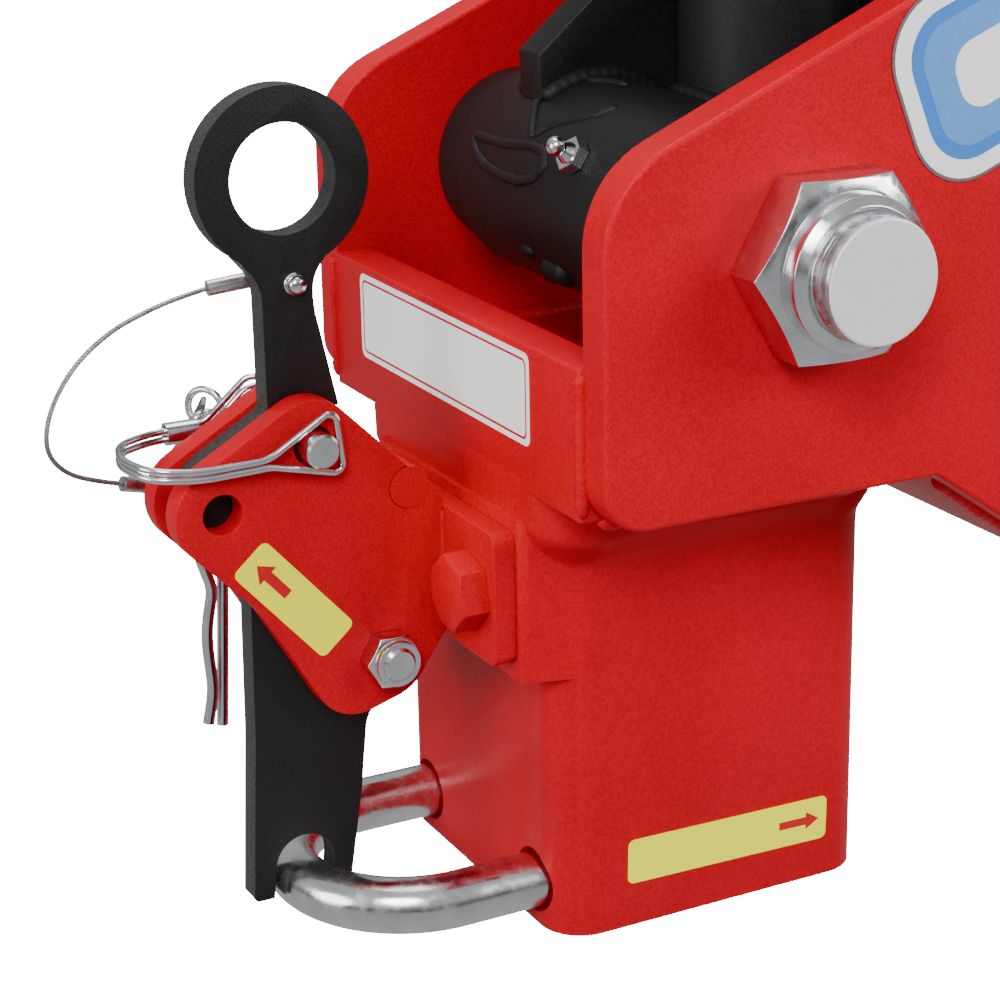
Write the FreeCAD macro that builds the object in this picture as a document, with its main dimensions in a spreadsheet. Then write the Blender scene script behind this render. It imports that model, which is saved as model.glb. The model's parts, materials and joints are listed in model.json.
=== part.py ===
import FreeCAD, Part
import math
import os

# Gooseneck coupler head for a 2-5/16 in. ball, with a lever latch and a cushioned pivoting arm.
# Origin: centre of the seated ball. +Z up, -X towards the lever, near side is -Y. Millimetres.

V = FreeCAD.Vector
os.makedirs("parts", exist_ok=True)
doc = FreeCAD.newDocument("coupler")

sheet = doc.addObject("Spreadsheet::Sheet", "Dim")
DIMS = [
    ("block_width", 101.6), ("block_bottom", -28.6), ("block_top", 103.5), ("neck_start", 87.0),
    ("neck_full", 94.0), ("pad_high", 8.4),
    ("ball_bore", 60.32), ("ball_seat", 59.3), ("rod_dia", 15.875), ("rod_bore", 16.7), ("leg_spread", 34.0),
    ("leg_z", -15.9), ("bend_x", -74.0), ("leg_end", 47.5), ("scallop", 61.0), ("pin_cross", 6.5),
    ("cheek_thick", 12.7), ("cheek_mid", 82.55), ("inside_width", 152.4), ("plate_thick", 12.7),
    ("bracket_thick", 7.94), ("bracket_mid", 8.49), ("lever_thick", 7.94),
    ("base_thick", 6.35), ("base_width", 86.0), ("base_low", 54.0), ("base_high", 92.0),
    ("half_bolt", 12.7), ("half_flats", 19.05), ("half_head", 8.0), ("base_bolt_y", 29.7),
    ("base_bolt_z", 73.0), ("lever_bolt", 9.525), ("lever_flats", 14.29), ("lever_pivot_x", -84.0),
    ("lever_pivot_z", 51.5), ("spacer_x", -75.5), ("spacer_z", 98.8), ("pin_dia", 9.5), ("pin_hole", 11.1), ("pin_x", -103.0),
    ("pin_z", 115.0), ("pivot_x", 4.9), ("pivot_z", 167.2), ("pivot_dia", 31.75),
    ("pivot_hole", 32.2), ("pivot_near", 116.5), ("nut_corner", 53.6), ("nut_high", 13.3),
    ("collar_dia", 40.0), ("collar_high", 7.0), ("head_flats", 47.6), ("head_high", 19.0),
    ("tube_outer", 62.0), ("tube_inner", 38.4), ("tube_length", 110.0), ("bush_outer", 38.1),
    ("bush_inner", 32.1), ("bush_length", 30.0), ("washer_outer", 54.5), ("washer_thick", 20.6),
    ("stem_x", 46.0), ("stem_dia", 50.8), ("stem_wall", 6.35), ("stem_low", 196.0),
    ("flange_z", 290.0), ("flange_thick", 12.7), ("flange_size", 127.0), ("flange_hole", 13.5),
    ("flange_pitch", 98.0), ("gusset_thick", 12.7), ("gusset_mid", 31.75), ("bag_x", 181.0),
    ("bag_low", 70.0), ("bag_high", 206.0), ("bead_thick", 6.0), ("bead_dia", 96.0),
    ("stud_dia", 9.525), ("stud_flats", 14.29), ("stud_pitch", 70.0),
]
for row, (alias, value) in enumerate(DIMS, start=1):
    sheet.set("A%d" % row, alias)
    sheet.set("B%d" % row, repr(value))
    sheet.setAlias("B%d" % row, alias)
doc.recompute()


def dim(alias):
    return float(sheet.get(alias))


def bind(obj, prop, value):
    """Number, or an expression written with the sheet's aliases."""
    if isinstance(value, str):
        words = value.replace("(", " ( ").replace(")", " ) ").split()
        names = [alias for alias, size in DIMS]
        text = " ".join("Dim." + word if word in names else word for word in words)
        obj.setExpression(prop, text)
        return
    if prop.startswith("Placement.Base."):
        base = V(obj.Placement.Base)
        setattr(base, prop[-1], value)
        obj.Placement = FreeCAD.Placement(base, obj.Placement.Rotation)
        return
    setattr(obj, prop, value)


def corner(before, here, after, radius):
    """Tangent points and mid point of the arc that rounds one corner."""
    one = (before - here).normalize()
    two = (after - here).normalize()
    angle = one.getAngle(two)
    run = radius / math.tan(angle / 2)
    middle = (one + two).normalize()
    reach = radius / math.sin(angle / 2) - radius
    return here + one * run, here + middle * reach, here + two * run


def rounded(points, z=0.0):
    """Closed outline of lines and arcs from (x, y, corner radius) vertices."""
    count = len(points)
    corners = []
    for i in range(count):
        here = V(points[i][0], points[i][1], z)
        before = V(points[i - 1][0], points[i - 1][1], z)
        after = V(points[(i + 1) % count][0], points[(i + 1) % count][1], z)
        radius = points[i][2]
        if radius > 0:
            corners.append(corner(before, here, after, radius))
        else:
            corners.append((here, None, here))
    shapes = []
    for i in range(count):
        first, middle, last = corners[i]
        if middle is not None:
            shapes.append(Part.Arc(first, middle, last))
        following = corners[(i + 1) % count][0]
        if (following - last).Length > 1e-6:
            shapes.append(Part.LineSegment(last, following))
    return shapes


def sketch(body, plane, name, geometry, offset=0.0):
    item = body.newObject("Sketcher::SketchObject", name)
    support = [f for f in body.Origin.OriginFeatures if f.Role == plane][0]
    item.AttachmentSupport = [(support, "")]
    item.MapMode = "FlatFace"
    if offset:
        item.AttachmentOffset = FreeCAD.Placement(V(0, 0, offset), FreeCAD.Rotation())
    for shape in geometry:
        item.addGeometry(shape, False)
    return item


def circle(x, y, radius):
    return Part.Circle(V(x, y, 0), V(0, 0, 1), radius)


def new_body(label):
    body = doc.addObject("PartDesign::Body", label)
    body.Label = label
    return body


def cut_through(body, plane, name, geometry):
    """A pocket that runs both ways through everything, checked by its volume."""
    doc.recompute()
    before = body.Shape.Volume
    item = body.newObject("PartDesign::Pocket", name)
    item.Profile = sketch(body, plane, name + "_sketch", geometry)
    item.Type = 1
    item.Midplane = True
    doc.recompute()
    if body.Shape.Volume > before - 1.0:
        raise RuntimeError(name + " cuts nothing")
    return item


def plate(label, plane, outline, thick, place=None, holes=(), edge=0.0):
    """A flat plate, centred on its plane, moved by place = {axis: number or expression}."""
    body = new_body(label)
    pad = body.newObject("PartDesign::Pad", label + "_pad")
    pad.Profile = sketch(body, plane, label + "_outline", outline)
    pad.Midplane = True
    bind(pad, "Length", thick)
    doc.recompute()
    if edge > 0:
        normal = {"XZ_Plane": "y", "XY_Plane": "z", "YZ_Plane": "x"}[plane]
        names = []
        for number, item in enumerate(pad.Shape.Edges, start=1):
            box = item.BoundBox
            spread = {"x": box.XLength, "y": box.YLength, "z": box.ZLength}[normal]
            if spread < 1e-4:
                names.append("Edge%d" % number)
        fillet = body.newObject("PartDesign::Fillet", label + "_edge")
        fillet.Base = (pad, names)
        fillet.Radius = edge
        doc.recompute()
    if holes:
        cut_through(body, plane, label + "_holes", list(holes))
    for axis, value in (place or {}).items():
        bind(body, "Placement.Base." + axis, value)
    return body


TURN = {
    "z": FreeCAD.Rotation(),
    "-z": FreeCAD.Rotation(V(1, 0, 0), 180),
    "y": FreeCAD.Rotation(V(1, 0, 0), -90),
    "-y": FreeCAD.Rotation(V(1, 0, 0), 90),
    "x": FreeCAD.Rotation(V(0, 1, 0), 90),
    "-x": FreeCAD.Rotation(V(0, 1, 0), -90),
}


def put(obj, at, axis):
    obj.Placement = FreeCAD.Placement(V(0, 0, 0), TURN[axis] if isinstance(axis, str) else axis)
    for letter, value in zip("xyz", at):
        bind(obj, "Placement.Base." + letter, value)
    return obj


def cyl(name, radius, high, at, axis):
    obj = doc.addObject("Part::Cylinder", name)
    bind(obj, "Radius", radius)
    bind(obj, "Height", high)
    return put(obj, at, axis)


def cone(name, radius1, radius2, high, at, axis):
    obj = doc.addObject("Part::Cone", name)
    bind(obj, "Radius1", radius1)
    bind(obj, "Radius2", radius2)
    bind(obj, "Height", high)
    return put(obj, at, axis)


def hexagon(name, flats, high, at, axis):
    obj = doc.addObject("Part::Prism", name)
    obj.Polygon = 6
    if isinstance(flats, str):
        bind(obj, "Circumradius", flats + " / 1.7320508")
    else:
        obj.Circumradius = flats / math.sqrt(3)
    bind(obj, "Height", high)
    return put(obj, at, axis)


def rounded_hex(name, flats, high, at, axis):
    """Hexagon whose outer corners are turned off by a cone, as on a bolt head."""
    blank = hexagon(name + "_hex", flats, high, at, axis)
    size = dim(flats) if isinstance(flats, str) else flats
    tall = dim(high) if isinstance(high, str) else high
    straight = doc.addObject("Part::Cone", name + "_turn")
    slope = 0.55
    straight.Radius1 = size / 2 * 0.98 + tall / slope
    straight.Radius2 = size / 2 * 0.98
    straight.Height = tall
    put(straight, at, axis)
    both = doc.addObject("Part::Common", name)
    both.Base = blank
    both.Tool = straight
    return both


def fuse(name, items):
    obj = doc.addObject("Part::MultiFuse", name)
    obj.Shapes = items
    obj.Label = name
    return obj


def cut(name, base, tool):
    obj = doc.addObject("Part::Cut", name)
    obj.Base = base
    obj.Tool = tool
    obj.Label = name
    return obj


def group(name, items):
    obj = doc.addObject("Part::Compound", name)
    obj.Links = items
    obj.Label = name
    return obj


def route(points, closed=False, share=0.45):
    """Straight runs joined by tangent arcs; a fourth number caps that corner's radius."""
    pts = [V(*p[:3]) for p in points]
    count = len(pts)
    edges = []
    radii = []
    corners = []
    for i in range(count):
        if not closed and i in (0, count - 1):
            corners.append((pts[i], None, pts[i]))
            continue
        before, here, after = pts[i - 1], pts[i], pts[(i + 1) % count]
        angle = (before - here).getAngle(after - here)
        turn = math.pi - angle
        shorter = min((before - here).Length, (after - here).Length)
        radius = share * shorter / math.tan(turn / 2)
        if len(points[i]) == 4:
            radius = min(radius, points[i][3])
        radii.append(radius)
        corners.append(corner(before, here, after, radius))
    for i in range(count):
        first, middle, last = corners[i]
        if middle is not None:
            edges.append(Part.Arc(first, middle, last).toShape())
        if i == count - 1 and not closed:
            break
        edges.append(Part.LineSegment(last, corners[(i + 1) % count][0]).toShape())
    return Part.Wire(Part.__sortEdges__(edges)), radii


def tube(wire, radius):
    first = wire.OrderedEdges[0]
    start = first.valueAt(first.FirstParameter)
    way = first.tangentAt(first.FirstParameter)
    ring = Part.Wire([Part.Circle(start, way, radius).toShape()])
    return wire.makePipeShell([ring], True, True)


def feature(label, shape):
    obj = doc.addObject("Part::Feature", label)
    obj.Label = label
    obj.Shape = shape
    obj.Placement = FreeCAD.Placement()
    return obj


NODES = []

# ---------------------------------------------------------------- coupler block
half = dim("block_width") / 2
block = new_body("coupler_block")
square = [(-half, -half, 12.7), (half, -half, 12.7), (half, half, 12.7), (-half, half, 12.7)]
block_pad = block.newObject("PartDesign::Pad", "block_pad")
block_pad.Profile = sketch(block, "XY_Plane", "block_square", rounded(square), dim("block_bottom"))
bind(block_pad, "Length", "neck_start - block_bottom")
doc.recompute()
flare = [(-57, -62, 16), (half, -62, 16), (half, 62, 16), (-57, 62, 16)]
neck = block.newObject("PartDesign::AdditiveLoft", "block_neck")
neck.Profile = sketch(block, "XY_Plane", "neck_low", rounded(square), dim("neck_start"))
neck.Sections = [sketch(block, "XY_Plane", "neck_high", rounded(flare), dim("neck_full"))]
neck.Ruled = True
doc.recompute()
rim = block.newObject("PartDesign::Pad", "neck_rim")
rim.Profile = sketch(block, "XY_Plane", "rim_outline", rounded(flare), dim("neck_full"))
bind(rim, "Length", "block_top - neck_full")
doc.recompute()
# Raised seat on the front face that carries the lever bracket.
front_face = -half - dim("pad_high")
boss_outline = [(front_face, -45.5, 4), (-42, -49.9, 0), (-42, 49.9, 0), (front_face, 45.5, 4)]
boss = block.newObject("PartDesign::Pad", "bracket_seat")
boss.Profile = sketch(block, "XY_Plane", "seat_outline", rounded(boss_outline), 49.5)
boss.Length = 45.5
doc.recompute()
# Ball socket: straight bore below, hemispherical seat above the ball's centre.
bore = dim("ball_bore") / 2
roof = dim("ball_seat") / 2
lip = math.sqrt(roof ** 2 - 0.8 ** 2)
crown = math.sqrt(roof ** 2 - 6.0 ** 2)
low = dim("block_bottom")
seat = [
    Part.LineSegment(V(0, low - 1, 0), V(bore + 3.4, low - 1, 0)),
    Part.LineSegment(V(bore + 3.4, low - 1, 0), V(bore, low + 2.4, 0)),
    Part.LineSegment(V(bore, low + 2.4, 0), V(bore, 0.8, 0)),
    Part.LineSegment(V(bore, 0.8, 0), V(lip, 0.8, 0)),
    Part.Arc(V(lip, 0.8, 0), V(roof * 0.70711, roof * 0.70711, 0), V(6.0, crown, 0)),
    Part.LineSegment(V(6.0, crown, 0), V(0, crown, 0)),
    Part.LineSegment(V(0, crown, 0), V(0, low - 1, 0)),
]
whole = block.Shape.Volume
groove = block.newObject("PartDesign::Groove", "ball_socket")
groove.Profile = sketch(block, "XZ_Plane", "socket_profile", seat)
groove.ReferenceAxis = (groove.Profile[0], ["V_Axis"])
groove.Angle = 360
doc.recompute()
if block.Shape.Volume > whole - 100000:
    raise RuntimeError("the ball socket cuts nothing")
spread = dim("leg_spread")
legs = [circle(s * spread, dim("leg_z"), dim("rod_bore") / 2) for s in (-1, 1)]
cut_through(block, "YZ_Plane", "leg_bores", legs)
# The rod's bend runs a little way into the front of each bore, so the mouths are counterbored.
mouths = [circle(s * spread, dim("leg_z"), 9.4) for s in (-1, 1)]
whole = block.Shape.Volume
relief = block.newObject("PartDesign::Pocket", "bore_mouths")
relief.Profile = sketch(block, "YZ_Plane", "mouth_circles", mouths, -half)
relief.Length = 8.3
relief.Reversed = True
doc.recompute()
if block.Shape.Volume > whole - 100:
    raise RuntimeError("the bore mouths cut nothing")
whole = block.Shape.Volume
taps = block.newObject("PartDesign::Pocket", "bolt_taps")
spots = [circle(s * dim("base_bolt_y"), dim("base_bolt_z"), 6.5) for s in (-1, 1)]
taps.Profile = sketch(block, "YZ_Plane", "tap_circles", spots, front_face)
taps.Length = 34.5
taps.Reversed = True
doc.recompute()
if block.Shape.Volume > whole - 1000:
    raise RuntimeError("the bolt holes cut nothing")
NODES.append(block)

# ---------------------------------------------------------------- yoke
cheek = [
    (-57, 103.5, 12), (44, 103.5, 3), (110, 57.3, 3), (262, 57.3, 4), (262, 118, 14),
    (150, 150, 40), (97, 258.9, 25), (-57, 192.9, 28),
]
for side, sign in (("near", "-1"), ("far", "1")):
    hole = [circle(dim("pivot_x"), dim("pivot_z"), dim("pivot_hole") / 2)]
    NODES.append(plate(side + "_cheek_plate", "XZ_Plane", rounded(cheek), "cheek_thick",
                       {"y": sign + " * cheek_mid"}, hole, 1.5))
front = [(-57.7, 103.8, 0), (-45.3, 103.8, 0), (-45.3, 144.5, 0), (-57.7, 144.5, 0)]
NODES.append(plate("front_cross_plate", "XZ_Plane", rounded(front), "inside_width"))
floor = [(-45.1, 103.6, 0), (54.6, 103.6, 0), (54.6, 116.2, 0), (-45.1, 116.2, 0)]
NODES.append(plate("floor_plate", "XZ_Plane", rounded(floor), "inside_width"))
drop = math.radians(-35)
along = V(math.cos(drop), math.sin(drop), 0)
across = V(-math.sin(drop), math.cos(drop), 0)
first = V(51.4, 98.3, 0)
ends = [first, first + along * 72.0, first + along * 72.0 + across * 12.7, first + across * 12.7]
NODES.append(plate("slope_plate", "XZ_Plane", rounded([(p.x, p.y, 0) for p in ends]), "inside_width"))
seat_plate = [(118, 57.3, 0), (262, 57.3, 0), (262, 69.9, 0), (118, 69.9, 0)]
stud_x = [dim("bag_x") + s * dim("stud_pitch") / 2 for s in (-1, 1)]
rear = plate("rear_seat_plate", "XZ_Plane", rounded(seat_plate), "inside_width")
cut_through(rear, "XY_Plane", "seat_holes", [circle(x, 0, 5.5) for x in stud_x])
NODES.append(rear)
back = [(249.3, 70.1, 0), (262, 70.1, 0), (262, 104, 0), (249.3, 104, 0)]
NODES.append(plate("rear_cross_plate", "XZ_Plane", rounded(back), "inside_width"))

# ---------------------------------------------------------------- lever bracket
wide = dim("base_width") / 2
base = [
    (-wide, dim("base_low"), 4), (wide, dim("base_low"), 4),
    (wide, dim("base_high"), 4), (-wide, dim("base_high"), 4),
]
spots = [circle(s * dim("base_bolt_y"), dim("base_bolt_z"), 6.6) for s in (-1, 1)]
NODES.append(plate("bracket_base_plate", "YZ_Plane", rounded(base), "base_thick",
                   {"x": "-1 * block_width / 2 - pad_high - base_thick / 2 - 0.05"}, spots))
bracket = [
    (-65.7, 93.2, 0), (-67.2, 96.4, 1.5), (-101.45, 130.65, 12.5), (-151.0, 102.5, 13.6),
    (-120.9, 71.8, 30), (-98.7, 33.3, 12.9), (-76.2, 40.0, 12.9), (-65.7, 55.4, 0),
]
for side, sign in (("near", "-1"), ("far", "1")):
    holes = [
        circle(dim("pin_x"), dim("pin_z"), dim("pin_hole") / 2),
        circle(-129.3, 100.0, dim("pin_hole") / 2),
        circle(dim("lever_pivot_x"), dim("lever_pivot_z"), 4.9),
        circle(dim("spacer_x"), dim("spacer_z"), 5.95),
    ]
    NODES.append(plate(side + "_bracket_plate", "XZ_Plane", rounded(bracket), "bracket_thick",
                       {"y": sign + " * bracket_mid"}, holes))

# Spacer plug-welded through both bracket plates, ahead of the lever's travel.
NODES.append(cyl("bracket_spacer", 5.85, 25.3, ("spacer_x", -12.65, "spacer_z"), "y"))
NODES[-1].Label = "bracket_spacer"

bolts = []
for number, sign in enumerate(("-1", "1"), start=1):
    face = "-1 * block_width / 2 - pad_high - base_thick - 0.1"
    name = "base_bolt_%d" % number
    turned_head = FreeCAD.Rotation(V(1, 0, 0), -14 if sign == "-1" else 9).multiply(TURN["-x"])
    head = rounded_hex(name + "_head", "half_flats", "half_head",
                       (face, sign + " * base_bolt_y", "base_bolt_z"), turned_head)
    flange = cyl(name + "_washer_face", 9.2, 0.6, (face, sign + " * base_bolt_y", "base_bolt_z"), "-x")
    shank = cyl(name + "_shank", 6.35, 31.5, (face, sign + " * base_bolt_y", "base_bolt_z"), "x")
    bolts.append(fuse(name, [head, flange, shank]))
NODES.append(group("bracket_bolts", bolts))

where = ("lever_pivot_x", "bracket_mid + bracket_thick / 2 + 0.1", "lever_pivot_z")
head = rounded_hex("lever_bolt_head", "lever_flats", 6.2, where, "y")
shank = cyl("lever_bolt_shank", "lever_bolt / 2", 33.7, where, "-y")
at = ("lever_pivot_x", "bracket_mid + bracket_thick / 2 + 0.1 - 33.7", "lever_pivot_z")
tip = cone("lever_bolt_tip", "lever_bolt / 2", 4.0, 0.8, at, "-y")
NODES.append(fuse("lever_pivot_bolt", [head, shank, tip]))
where = ("lever_pivot_x", "-1 * bracket_mid - bracket_thick / 2 - 0.1", "lever_pivot_z")
nut = rounded_hex("lever_nut_hex", "lever_flats", 6.2, where, "-y")
ring = cyl("lever_nut_ring", 6.4, 8.4, where, "-y")
hole = cyl("lever_nut_hole", "lever_bolt / 2 + 0.02", 14.0, where, "-y")
NODES.append(cut("lever_pivot_nut", fuse("lever_nut_solid", [nut, ring]), hole))

# ---------------------------------------------------------------- U latch rod
legs = []
for sign in ("-1", "1"):
    legs.append(cyl("leg" + sign.replace("-1", "_near").replace("1", "_far"), "rod_dia / 2",
                    "leg_end - bend_x - 1.5", ("bend_x", sign + " * leg_spread", "leg_z"), "x"))
    legs.append(cone("leg_end" + sign.replace("-1", "_near").replace("1", "_far"), "rod_dia / 2",
                     "rod_dia / 2 - 1.5", 1.5, ("leg_end - 1.5", sign + " * leg_spread", "leg_z"), "x"))
bend = doc.addObject("Part::Torus", "rod_bend")
bind(bend, "Radius1", "leg_spread")
bind(bend, "Radius2", "rod_dia / 2")
bend.Angle3 = 180
put(bend, ("bend_x", 0.0, "leg_z"), FreeCAD.Rotation(V(0, 0, 1), 90))
rod = fuse("rod_full", legs + [bend])
relief = cyl("ball_relief", "scallop / 2", 60.0, (0.0, 0.0, -40.0), "z")
cross = [cyl("cross_hole_%d" % n, "pin_cross / 2", 40.0, ("leg_end - 9.5", s * dim("leg_spread"), -36.0),
             "z") for n, s in ((1, -1), (2, 1))]
NODES.append(cut("u_latch_rod", rod, fuse("rod_cuts", [relief] + cross)))

# ---------------------------------------------------------------- lever
lever_outline = [
    (-112.2, 158.0, 12), (-122.0, 169.4, 0), (-104.8, 184.0, 0), (-88.6, 170.0, 0),
    (-97.9, 158.5, 12), (-97.6, 150.0, 28), (-91.6, 122.0, 14), (-88.2, 98.0, 30),
    (-69.3, 62.2, 13), (-75.4, 37.5, 9), (-86.6, 34.2, 10), (-89.3, 9.8, 60), (-93.8, -18.6, 1.5),
    (-123.3, -18.6, 1.5), (-120.5, 31.0, 150), (-119.5, 84.0, 6), (-145.96, 103.75, 11.4),
    (-112.2, 123.0, 3),
]
lever = new_body("lever_handle")
pad = lever.newObject("PartDesign::Pad", "lever_pad")
pad.Profile = sketch(lever, "XZ_Plane", "lever_outline", rounded(lever_outline))
pad.Midplane = True
bind(pad, "Length", "lever_thick")
doc.recompute()
pad = lever.newObject("PartDesign::Pad", "ring_pad")
pad.Profile = sketch(lever, "XZ_Plane", "ring_outline", [circle(-104.8, 185.3, 24.3)])
pad.Midplane = True
bind(pad, "Length", "lever_thick")
doc.recompute()
cut_through(lever, "XZ_Plane", "finger_hole", [circle(-104.8, 185.3, 14.8)])
cut_through(lever, "XZ_Plane", "lever_pivot_hole",
            [circle(dim("lever_pivot_x"), dim("lever_pivot_z"), dim("lever_bolt") / 2 + 0.15)])
# Rod slot: round ended, tilted so that the rod stays in its middle while the lever turns.
tilt = math.radians(6.2)
down = V(-math.sin(tilt), -math.cos(tilt), 0)
out = V(math.cos(tilt), -math.sin(tilt), 0)
top = V(-107.43, -10.0, 0)
gap = 8.85
one, two = top - out * gap, top + out * gap
far_one, far_two = one + down * 30, two + down * 30
slot = [Part.Arc(one, top - down * gap, two), Part.LineSegment(two, far_two),
        Part.LineSegment(far_two, far_one), Part.LineSegment(far_one, one)]
cut_through(lever, "XZ_Plane", "rod_slot", slot)
# Pin notch: an arc about the pivot, closed at the stowed pin, open at the lever's other edge.
pivot = V(dim("lever_pivot_x"), dim("lever_pivot_z"), 0)
reach = (V(dim("pin_x"), dim("pin_z"), 0) - pivot).Length
start = math.atan2(dim("pin_z") - pivot.y, dim("pin_x") - pivot.x)
room = dim("pin_dia") / 2 + 0.55


def polar(radius, angle):
    return pivot + V(radius * math.cos(angle), radius * math.sin(angle), 0)


end = start - math.radians(40)
notch = [
    Part.Arc(polar(reach - room, start), polar(reach, start + room / reach), polar(reach + room, start)),
    Part.Arc(polar(reach + room, start), polar(reach + room, (start + end) / 2), polar(reach + room, end)),
    Part.LineSegment(polar(reach + room, end), polar(reach - room, end)),
    Part.Arc(polar(reach - room, end), polar(reach - room, (start + end) / 2), polar(reach - room, start)),
]
cut_through(lever, "XZ_Plane", "pin_notch", notch)
cut_through(lever, "XZ_Plane", "rivet_hole", [circle(-103.0, 157.3, 1.6)])
NODES.append(lever)

shaft = cyl("rivet_shaft", 1.5, 12.0, (-103.0, -4.2, 157.3), "y")
near_head = cyl("rivet_near", 2.6, 1.6, (-103.0, -4.07, 157.3), "-y")
dome = cone("rivet_dome", 2.6, 1.4, 0.9, (-103.0, -5.67, 157.3), "-y")
far_head = cyl("rivet_far", 2.6, 1.2, (-103.0, 7.3, 157.3), "y")
NODES.append(fuse("lanyard_rivet", [shaft, near_head, dome, far_head]))

# ---------------------------------------------------------------- lock pin and its wire bail
shank = cyl("pin_shank", "pin_dia / 2", 32.1, ("pin_x", 12.9, "pin_z"), "-y")
point = cone("pin_point", "pin_dia / 2", 4.1, 0.7, ("pin_x", -19.2, "pin_z"), "-y")
head = cyl("pin_head", 7.8, 8.0, ("pin_x", 12.9, "pin_z"), "y")
eye = cyl("pin_eye", 2.0, 24.0, ("pin_x", 17.0, 103.0), "z")
NODES.append(cut("lock_pin", fuse("pin_solid", [shank, point, head]), eye))
px, pz = dim("pin_x"), dim("pin_z")
bail_line = [
    (px, 17.0, pz + 1.0), (px, 17.0, 127.0, 3.5), (-109.0, 19.2, 127.0, 4), (-121.4, 21.4, 115.1, 8),
    (-138.0, 20.4, 114.7), (-148.5, 13.0, 115.3), (-152.2, 0.0, 115.7), (-148.5, -12.2, 115.0),
    (-136.4, -15.6, 113.75), (-116.8, -15.4, 114.15, 12), (-97.7, -15.2, 125.3, 2.5),
    (-95.4, -15.2, 106.8, 2.5), (-116.2, -15.4, 112.0, 12), (-136.4, -15.6, 111.6),
    (-148.5, -12.4, 112.7), (-152.2, 0.0, 113.3), (-148.5, 13.2, 112.9), (-138.0, 20.6, 112.3),
    (-120.2, 21.5, 112.8, 8), (-108.9, 20.9, 123.2, 5), (-97.0, 20.0, 125.2, 5), (-91.6, 18.0, 119.0),
    (-91.8, 17.0, 109.5), (-97.6, 17.0, 104.2, 4), (px, 17.0, 104.2, 2.2), (px, 17.0, pz - 1.0),
]
wire, radii = route(bail_line, share=0.42)
print("bail arc radii", [round(r, 1) for r in radii])
bail = feature("wire_bail", tube(wire, 1.0))
NODES.append(bail)
grip = cyl("sleeve_body", 3.2, 9.0, (-123.4, 21.35, 113.75), "-x")
holes = [cyl("sleeve_hole_%d" % n, 1.2, 13.0, (-121.4, y, z), "-x")
         for n, y, z in ((1, 21.1, 115.0), (2, 21.3, 112.6))]
NODES.append(cut("bail_sleeve", grip, fuse("sleeve_holes", holes)))

# ---------------------------------------------------------------- lanyard, split ring and R-clip
link = doc.addObject("Part::Torus", "split_ring")
link.Radius1 = 5.3
link.Radius2 = 1.05
put(link, (-117.6, 29.4, 117.0), FreeCAD.Rotation(V(0, 0, 1), V(0.766, 0.643, 0)))
link.Label = "split_ring"
NODES.append(link)
clip_line = [
    (-117.4, 30.6, 21.6), (-116.0, 30.6, 45.2), (-114.5, 30.6, 72.2), (-113.2, 30.4, 98.0),
    (-112.8, 30.0, 107.5), (-114.9, 29.5, 115.0), (-120.4, 29.3, 115.0), (-124.4, 29.2, 108.0),
    (-125.0, 29.0, 98.0), (-123.6, 29.0, 86.0), (-122.6, 29.0, 77.0), (-120.9, 29.0, 70.6),
    (-118.7, 29.0, 64.0), (-121.4, 29.0, 50.5), (-120.1, 29.0, 33.1), (-122.2, 29.0, 23.5),
]
wire, radii = route(clip_line, share=0.42)
NODES.append(feature("r_clip", tube(wire, 1.7)))

cable_line = [
    (-123.3, 6.9, 156.3), (-130.0, 7.6, 154.9), (-138.5, 8.6, 152.3), (-149.5, 9.9, 147.6),
    (-159.5, 11.2, 139.4), (-166.2, 12.7, 128.3), (-168.0, 14.4, 117.2), (-163.2, 16.2, 109.6),
    (-154.4, 18.2, 105.0), (-145.8, 20.0, 102.3),
]
wire, radii = route(cable_line)
steel = tube(wire, 0.75)
print("lanyard arc radii", [round(r, 1) for r in radii], "length", round(wire.Length, 1))
print("lanyard volume", round(steel.Volume, 1), "section x length",
      round(math.pi * 0.75 ** 2 * wire.Length, 1))
NODES.append(feature("lanyard_cable", steel))


def ferrule(first, last, eye, radius, wire_radius=0.75, body=2.2):
    """Crimp barrel from first to last, and a cable eye of the given radius beyond last."""
    a, b = V(*first), V(*last)
    way = V(b - a).normalize()
    barrel = Part.makeCylinder(body, (b - a).Length, a, way)
    loop = Part.makeTorus(radius, wire_radius, V(*eye), V(0, 1, 0))
    return barrel, loop


barrel, loop = ferrule((-123.2, 6.9, 156.3), (-108.4, 6.2, 157.6), (-105.0, 6.0, 157.1), 4.3)
NODES.append(feature("upper_ferrule", barrel.fuse(loop)))
barrel, loop = ferrule((-145.7, 20.0, 102.27), (-138.9, 21.4, 100.3), (-132.0, 22.5, 100.5), 3.0)
NODES.append(feature("lower_ferrule", barrel))
eye_line = [
    (-138.8, 21.5, 100.3), (-134.6, 26.2, 100.0), (-128.6, 32.4, 102.4), (-122.0, 35.6, 107.8),
    (-117.5, 35.8, 114.5), (-117.6, 29.4, 120.2), (-119.9, 24.6, 118.8),
]
wire, radii = route(eye_line, share=0.42)
NODES.append(feature("lanyard_eye", tube(wire, 0.75)))

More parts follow.
